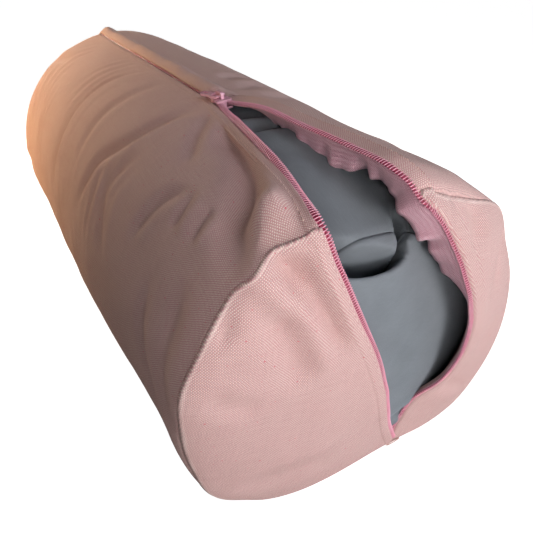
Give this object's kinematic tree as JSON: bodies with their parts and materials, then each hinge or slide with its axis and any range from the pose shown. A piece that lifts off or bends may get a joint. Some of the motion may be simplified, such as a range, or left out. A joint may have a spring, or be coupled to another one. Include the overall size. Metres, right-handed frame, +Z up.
{
  "type": "bolster pillow",
  "caption": "Cylindrical bolster: stuffed inner liner in a woven cloth cover whose coil zip runs along the roll and down one end, shown partly open.",
  "frame": {"origin": "bottom of the box around the object, under the middle of the roll, on the surface it rests on", "axes": "+X runs along the roll to the open, zipped end; +Z is up; the closed zip lies 10 degrees to the -Y side of the top"},
  "size_m": [0.4506, 0.2248, 0.2133],
  "materials": {
    "cover_cloth": "two-tone pink and cream plain-weave canvas, matt",
    "zip_tape": "herringbone-woven polyester tape with a slight sheen",
    "zip_coil": "dyed nylon monofilament",
    "sewing_thread": "twisted polyester thread",
    "slider_enamel": "glossy pink enamel on die-cast zinc",
    "liner_cloth": "fine blue-grey plain-weave cotton, matt",
    "liner_thread": "grey sewing thread",
    "filling": "loose fibre filling, hidden inside the liner"
  },
  "bodies": {
    "cover": {"cover_barrel": "cover_cloth", "front_cap_left": "cover_cloth", "front_cap_right": "cover_cloth", "back_cap": "cover_cloth", "zip_tape_left": "zip_tape", "zip_tape_right": "zip_tape", "zip_coil_left": "zip_coil", "zip_coil_right": "zip_coil", "zip_tack_far": "sewing_thread", "zip_tack_near": "sewing_thread", "topstitch_left": "sewing_thread", "topstitch_right": "sewing_thread", "seam_thread_front": "sewing_thread", "seam_thread_back": "sewing_thread", "liner_barrel": "liner_cloth", "liner_front_cap": "liner_cloth", "liner_back_cap": "liner_cloth", "liner_seam_thread_front": "liner_thread", "liner_seam_thread_back": "liner_thread", "filling": "filling"},
    "zip_slider": {"slider_body": "slider_enamel"},
    "zip_pull": {"pull_tab": "slider_enamel"}
  },
  "joints": [
    {"name": "slider_travel", "type": "slide", "parent": "cover", "child": "zip_slider", "axis": [-1, 0, 0], "range_m": [0, 0.252], "deforming": ["zip_coil_left", "zip_coil_right"]},
    {"name": "pull_tab_swing", "type": "hinge", "parent": "zip_slider", "child": "zip_pull", "pos_m": [0.07, -0.02001, 0.2105], "axis": [-0.4226, 0.8925, 0.1574], "range_deg": [0, 150]}
  ]
}
